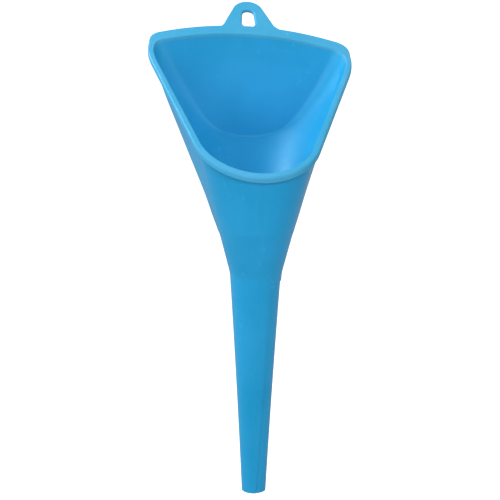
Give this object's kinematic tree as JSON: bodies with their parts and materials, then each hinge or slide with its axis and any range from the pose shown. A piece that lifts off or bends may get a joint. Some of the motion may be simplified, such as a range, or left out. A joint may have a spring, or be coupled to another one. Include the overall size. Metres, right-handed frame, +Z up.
{
  "type": "long-neck scoop funnel",
  "caption": "Hand funnel with a slanted, open-fronted scoop mouth, an upright back with a hanging tab, and a long tapered spout with a shallow vent recess.",
  "frame": {"origin": "centre of the outlet, on the spout's flat end", "axes": "+Z up the spout axis towards the mouth, +Y towards the upright back panel and the hanging tab, -Y towards the low front lip"},
  "size_m": [0.127, 0.1195, 0.2973],
  "materials": {
    "body_plastic": "semi-gloss moulded polyethylene, sky blue",
    "rim_plastic": "semi-gloss moulded polyethylene, sky blue, polished flat face"
  },
  "bodies": {
    "root": {"spout_tip": "body_plastic", "spout_tube": "body_plastic", "neck_collar": "body_plastic", "lower_cone": "body_plastic", "front_wall": "body_plastic", "left_side_wall": "body_plastic", "right_side_wall": "body_plastic", "back_slope": "body_plastic", "back_panel": "body_plastic", "rim_flange": "rim_plastic", "hanging_tab": "rim_plastic"}
  },
  "joints": []
}
